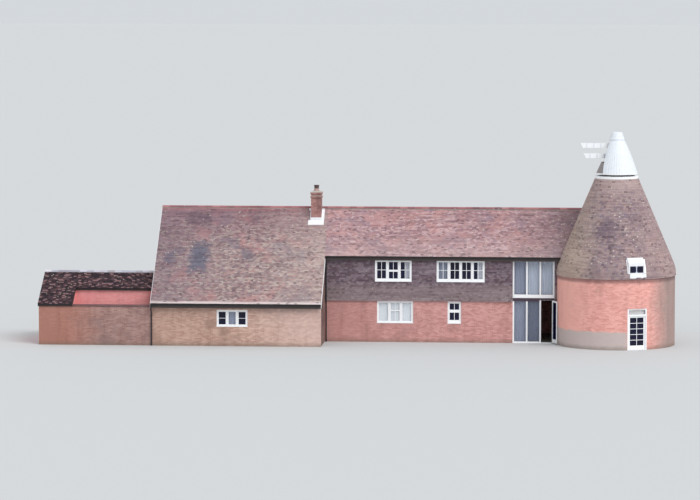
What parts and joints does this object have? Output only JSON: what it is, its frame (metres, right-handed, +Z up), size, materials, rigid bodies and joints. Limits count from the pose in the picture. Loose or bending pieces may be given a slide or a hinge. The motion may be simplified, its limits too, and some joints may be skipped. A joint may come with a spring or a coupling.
{
  "type": "oast house",
  "caption": "Round brick hop kiln with a turning white cowl on its tiled cone, joined to a two-storey tile-hung stowage and a lower barn under one long tiled roof.",
  "frame": {"origin": "middle of the footprint's box, at ground level", "axes": "+X along the ridge from the yard to the kiln, +Y from the front to the rear, +Z up"},
  "size_m": [36.42, 8.8502, 12.16],
  "materials": {
    "kiln_brick": "weathered red brick",
    "kiln_tiles": "weathered clay tiles with lichen",
    "white_paint": "white gloss paint on wood",
    "weathered_boards": "weathered boards",
    "timber": "sawn timber",
    "glass": "clear window glass",
    "iron": "black painted iron",
    "lead": "pale weathered sheet lead",
    "brick": "red brick in lime mortar",
    "hung_tiles": "dark clay hung tiles",
    "concrete": "smooth floor",
    "barn_brick": "buff and brown brick",
    "roof_tiles": "weathered clay peg tiles",
    "black_paint": "black paint",
    "pot_clay": "red clay",
    "red_brick": "red brick",
    "dark_tiles": "dark clay tiles"
  },
  "bodies": {
    "building": {"kiln_wall_front": "kiln_brick", "kiln_wall_right": "kiln_brick", "kiln_wall_rear": "kiln_brick", "kiln_wall_left": "kiln_brick", "kiln_wall_over_door": "kiln_brick", "kiln_roof": "kiln_tiles", "curb_ring": "white_paint", "sprattle_beams": "timber", "kiln_door_frame": "white_paint", "hinge_pins": "iron", "dormer_surround": "lead", "dormer_frame": "white_paint", "front_wall": "brick", "upper_front_wall": "hung_tiles", "rear_wall": "brick", "upper_rear_wall": "hung_tiles", "gable_wall": "brick", "upper_gable_wall": "hung_tiles", "glazed_screen": "white_paint", "front_window_frames": "white_paint", "front_glass": "glass", "rear_window_frames": "white_paint", "rear_glass": "glass", "ground_floor": "concrete", "upper_floor": "timber", "barn_front_wall": "barn_brick", "barn_side_wall": "barn_brick", "barn_gable_wall": "barn_brick", "barn_rear_wall": "barn_brick", "front_roof": "roof_tiles", "rear_roof": "roof_tiles", "barn_roof": "roof_tiles", "ridge_tiles": "roof_tiles", "gutters": "black_paint", "downpipes": "black_paint", "chimney_stack": "brick", "chimney_pot": "pot_clay", "yard_wall": "barn_brick", "outhouse_walls": "red_brick", "outhouse_roof": "dark_tiles"},
    "cowl": {"cowl_frame": "white_paint", "cowl_hood": "white_paint", "cowl_lip": "weathered_boards", "cowl_vane": "white_paint", "cowl_cap": "white_paint"},
    "kiln_door": {"kiln_door_leaf": "white_paint", "kiln_door_glass": "glass"},
    "garden_door": {"garden_door_leaf": "white_paint", "garden_door_glass": "glass"}
  },
  "joints": [
    {"name": "cowl_turn", "type": "hinge", "parent": "building", "child": "cowl", "pos_m": [14.78, -0.99515, 9.78], "axis": [0, 0, 1], "continuous": true},
    {"name": "kiln_door_swing", "type": "hinge", "parent": "building", "child": "kiln_door", "pos_m": [15.49764, -4.13279, 0.04], "axis": [0, 0, 1], "range_deg": [0, 100]},
    {"name": "garden_door_swing", "type": "hinge", "parent": "building", "child": "garden_door", "pos_m": [11.17, -1.13715, 0.04], "axis": [0, 0, 1], "range_deg": [-116, 0]}
  ]
}
